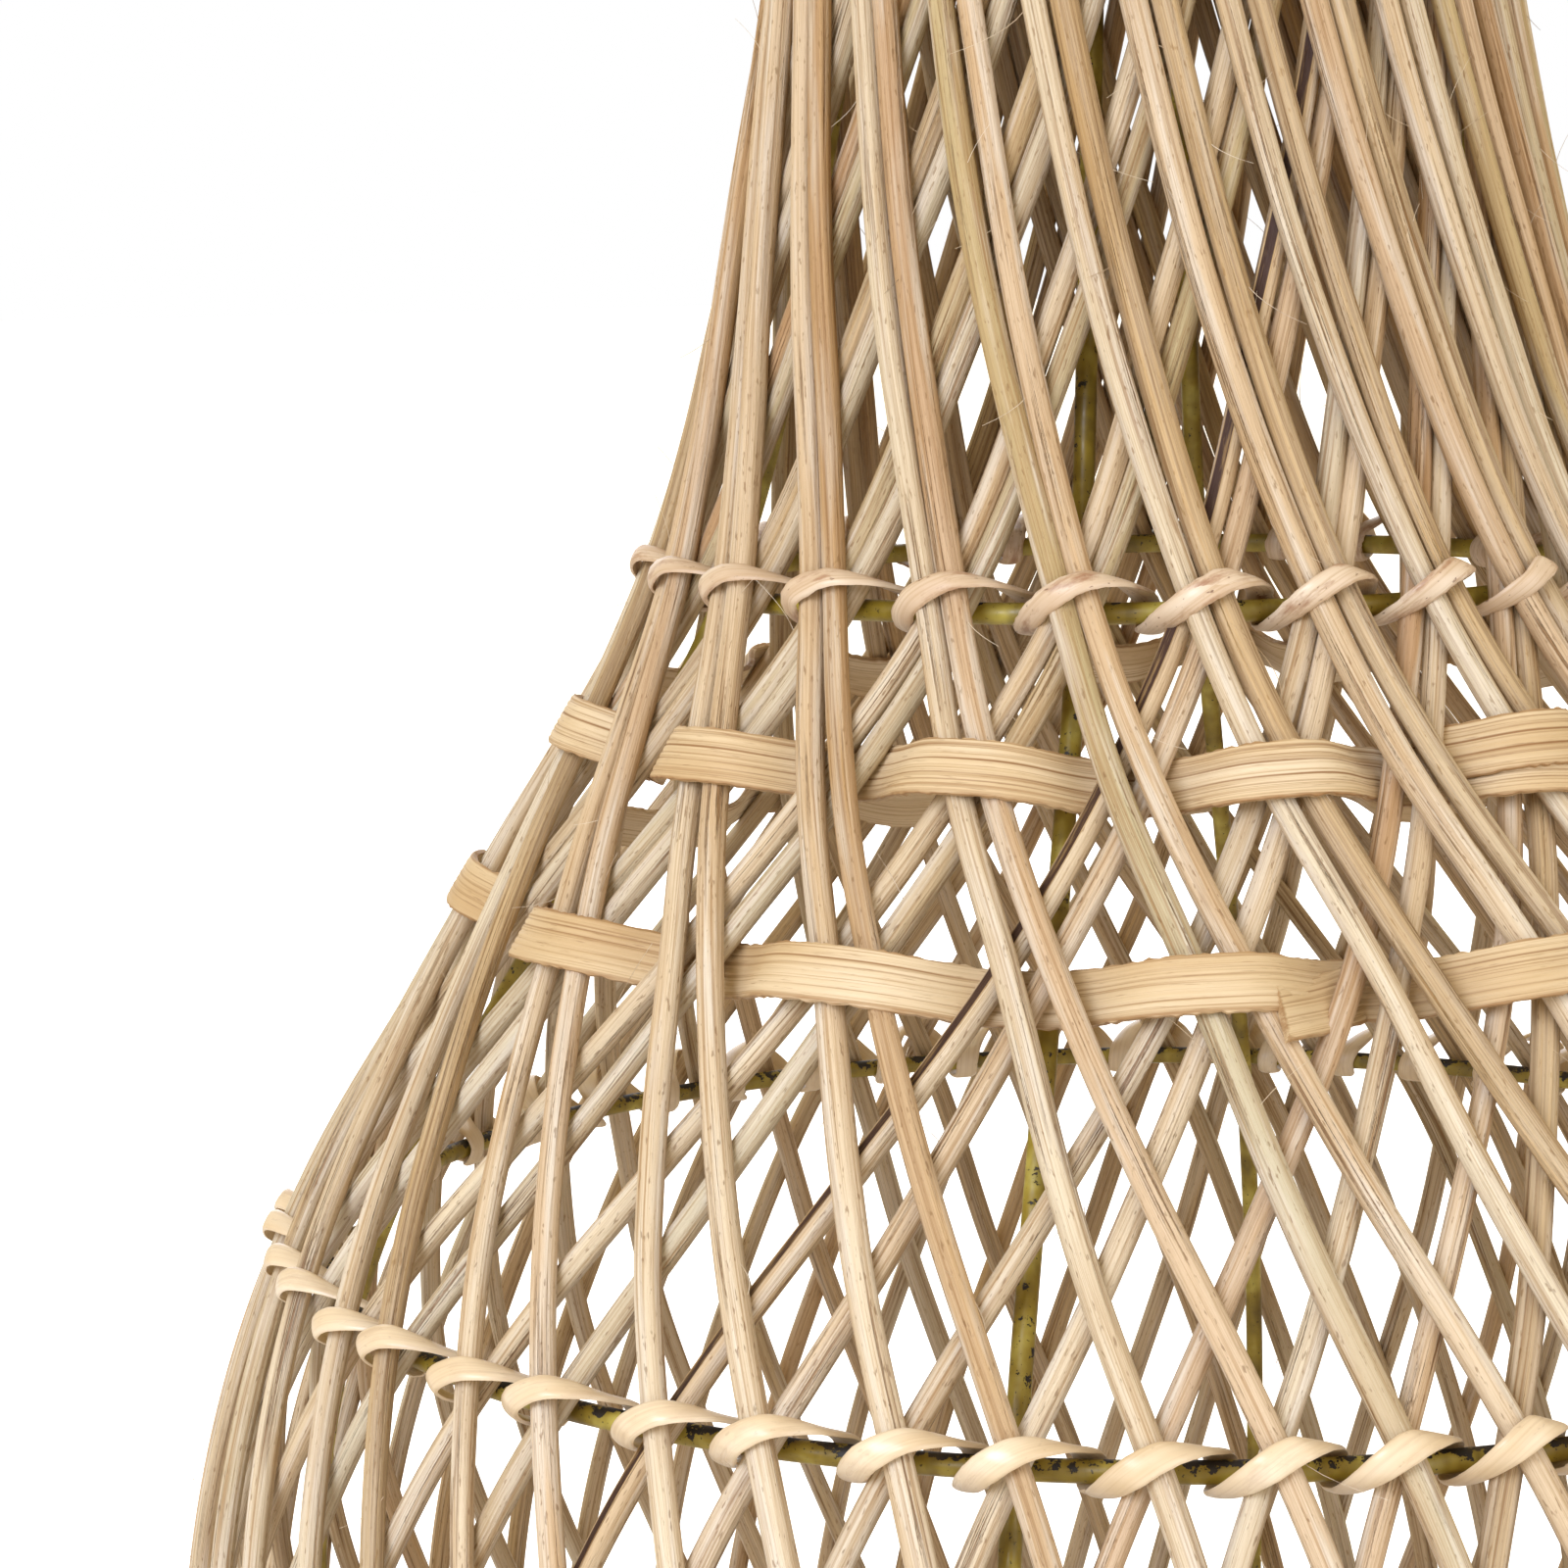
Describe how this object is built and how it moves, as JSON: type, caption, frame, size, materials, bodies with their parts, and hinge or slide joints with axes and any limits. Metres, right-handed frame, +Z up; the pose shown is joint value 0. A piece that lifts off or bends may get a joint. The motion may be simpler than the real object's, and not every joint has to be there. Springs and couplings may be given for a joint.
{
  "type": "pendant lampshade",
  "caption": "Bottle-shaped pendant lampshade of crossed rattan splints on a ringed wire frame, hung from a screw-type lamp holder with a cord gland.",
  "frame": {"origin": "top of the cord gland, on the shade's axis, where the cord enters and the lamp hangs", "axes": "+Z up along the shade's axis; one rib of the frame is at -Y, one at +X, one at +Y and one at -X"},
  "size_m": [0.3, 0.3, 0.4265],
  "materials": {
    "painted_wire": "satin olive paint, chipped to dark metal",
    "rattan": "bare round reed",
    "cane": "glossy bark-side cane",
    "holder_plastic": "matte black",
    "ceramic": "white glazed ceramic",
    "brass": "plain",
    "screw_steel": "zinc plated"
  },
  "bodies": {
    "cap": {"holder_cap": "holder_plastic", "cord_gland": "holder_plastic", "holder_core": "ceramic", "screw_shell": "brass", "terminal_1": "brass", "terminal_2": "brass"},
    "gland_nut": {"gland_nut": "holder_plastic"},
    "skirt": {"holder_skirt": "holder_plastic"},
    "shade_nut": {"shade_nut": "holder_plastic"},
    "shade": {"top_ring": "painted_wire", "neck_ring": "painted_wire", "belly_ring": "painted_wire", "bottom_ring": "painted_wire", "fitter_ring": "painted_wire", "spoke_1": "painted_wire", "spoke_2": "painted_wire", "spoke_3": "painted_wire", "spoke_4": "painted_wire", "rib_1": "painted_wire", "rib_2": "painted_wire", "rib_3": "painted_wire", "rib_4": "painted_wire", "outer_splints": "rattan", "inner_splints": "rattan", "upper_weaver": "rattan", "lower_weaver": "rattan", "neck_binding": "cane", "belly_binding": "cane", "top_binding": "cane", "bottom_binding": "cane"},
    "centre_contact": {"centre_contact": "brass"},
    "terminal_screw_1": {"terminal_screw_1": "screw_steel"},
    "terminal_screw_2": {"terminal_screw_2": "screw_steel"}
  },
  "joints": [
    {"name": "gland_nut_turn", "type": "hinge", "parent": "cap", "child": "gland_nut", "pos_m": [0, 0, -0.007], "axis": [0, 0, 1], "range_deg": [0, 720]},
    {"name": "skirt_unscrew", "type": "hinge", "parent": "cap", "child": "skirt", "pos_m": [0, 0, -0.0515], "axis": [0, 0, -1], "range_deg": [0, 900]},
    {"name": "shade_nut_unscrew", "type": "hinge", "parent": "skirt", "child": "shade_nut", "pos_m": [0, 0, -0.058], "axis": [0, 0, -1], "range_deg": [0, 1440]},
    {"name": "shade_swivel", "type": "hinge", "parent": "skirt", "child": "shade", "pos_m": [0, 0, -0.055], "axis": [0, 0, 1], "continuous": true},
    {"name": "centre_contact_press", "type": "slide", "parent": "cap", "child": "centre_contact", "axis": [0, 0, 1], "range_m": [0, 0.002], "stiffness_N_per_m": 800},
    {"name": "terminal_screw_1_turn", "type": "hinge", "parent": "cap", "child": "terminal_screw_1", "pos_m": [-0.0098, 0, -0.0363], "axis": [0, 0, 1], "range_deg": [0, 1080]},
    {"name": "terminal_screw_2_turn", "type": "hinge", "parent": "cap", "child": "terminal_screw_2", "pos_m": [0.0098, 0, -0.0363], "axis": [0, 0, 1], "range_deg": [0, 1080]}
  ]
}
